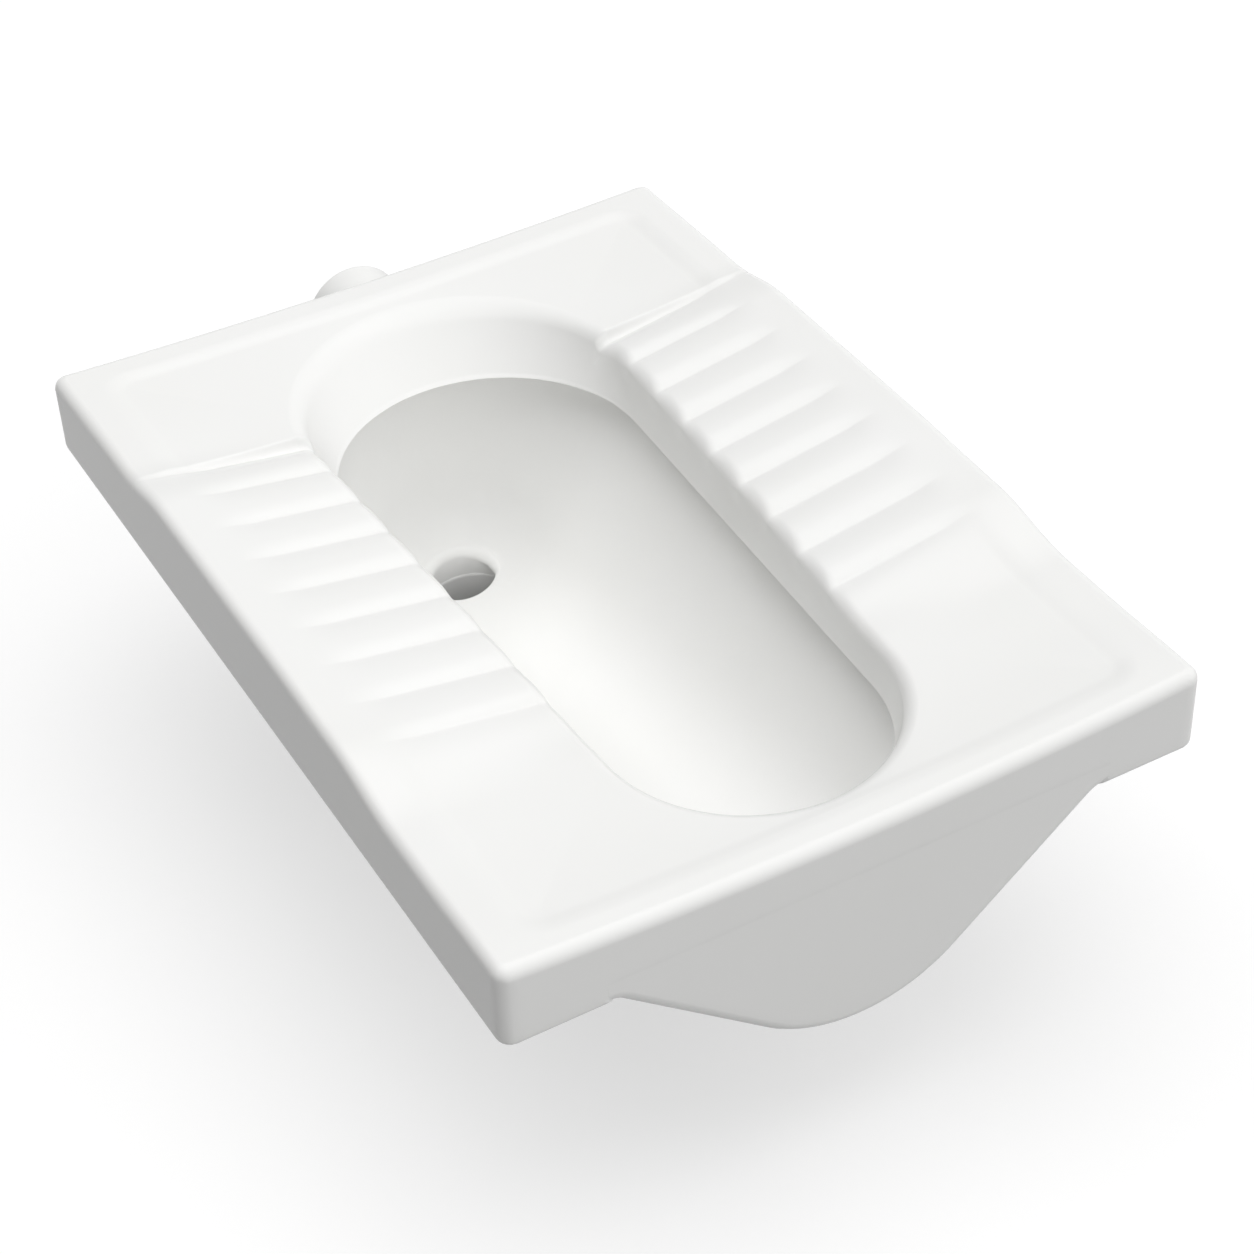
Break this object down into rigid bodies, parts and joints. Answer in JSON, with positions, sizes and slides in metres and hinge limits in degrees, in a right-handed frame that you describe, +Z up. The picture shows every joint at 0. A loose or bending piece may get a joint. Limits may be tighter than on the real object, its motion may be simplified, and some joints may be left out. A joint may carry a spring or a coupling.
{
  "type": "squat toilet",
  "caption": "White glazed squat toilet pan with ribbed foot treads, box flush rim, sloping bowl, rear flush inlet and vertical outlet.",
  "frame": {"origin": "centre of the outlet spigot's lower end, on its axis", "axes": "+Z up, +Y towards the flush inlet at the rear edge, +X to the right for someone who looks along +Y"},
  "size_m": [0.45, 0.65, 0.2604],
  "materials": {
    "glazed_china": "glossy white glaze"
  },
  "bodies": {
    "root": {"deck_plate": "glazed_china", "left_foot_tread": "glazed_china", "right_foot_tread": "glazed_china", "flush_rim": "glazed_china", "bowl": "glazed_china", "front_apron": "glazed_china", "inlet_horn": "glazed_china", "outlet_spigot": "glazed_china"}
  },
  "joints": []
}
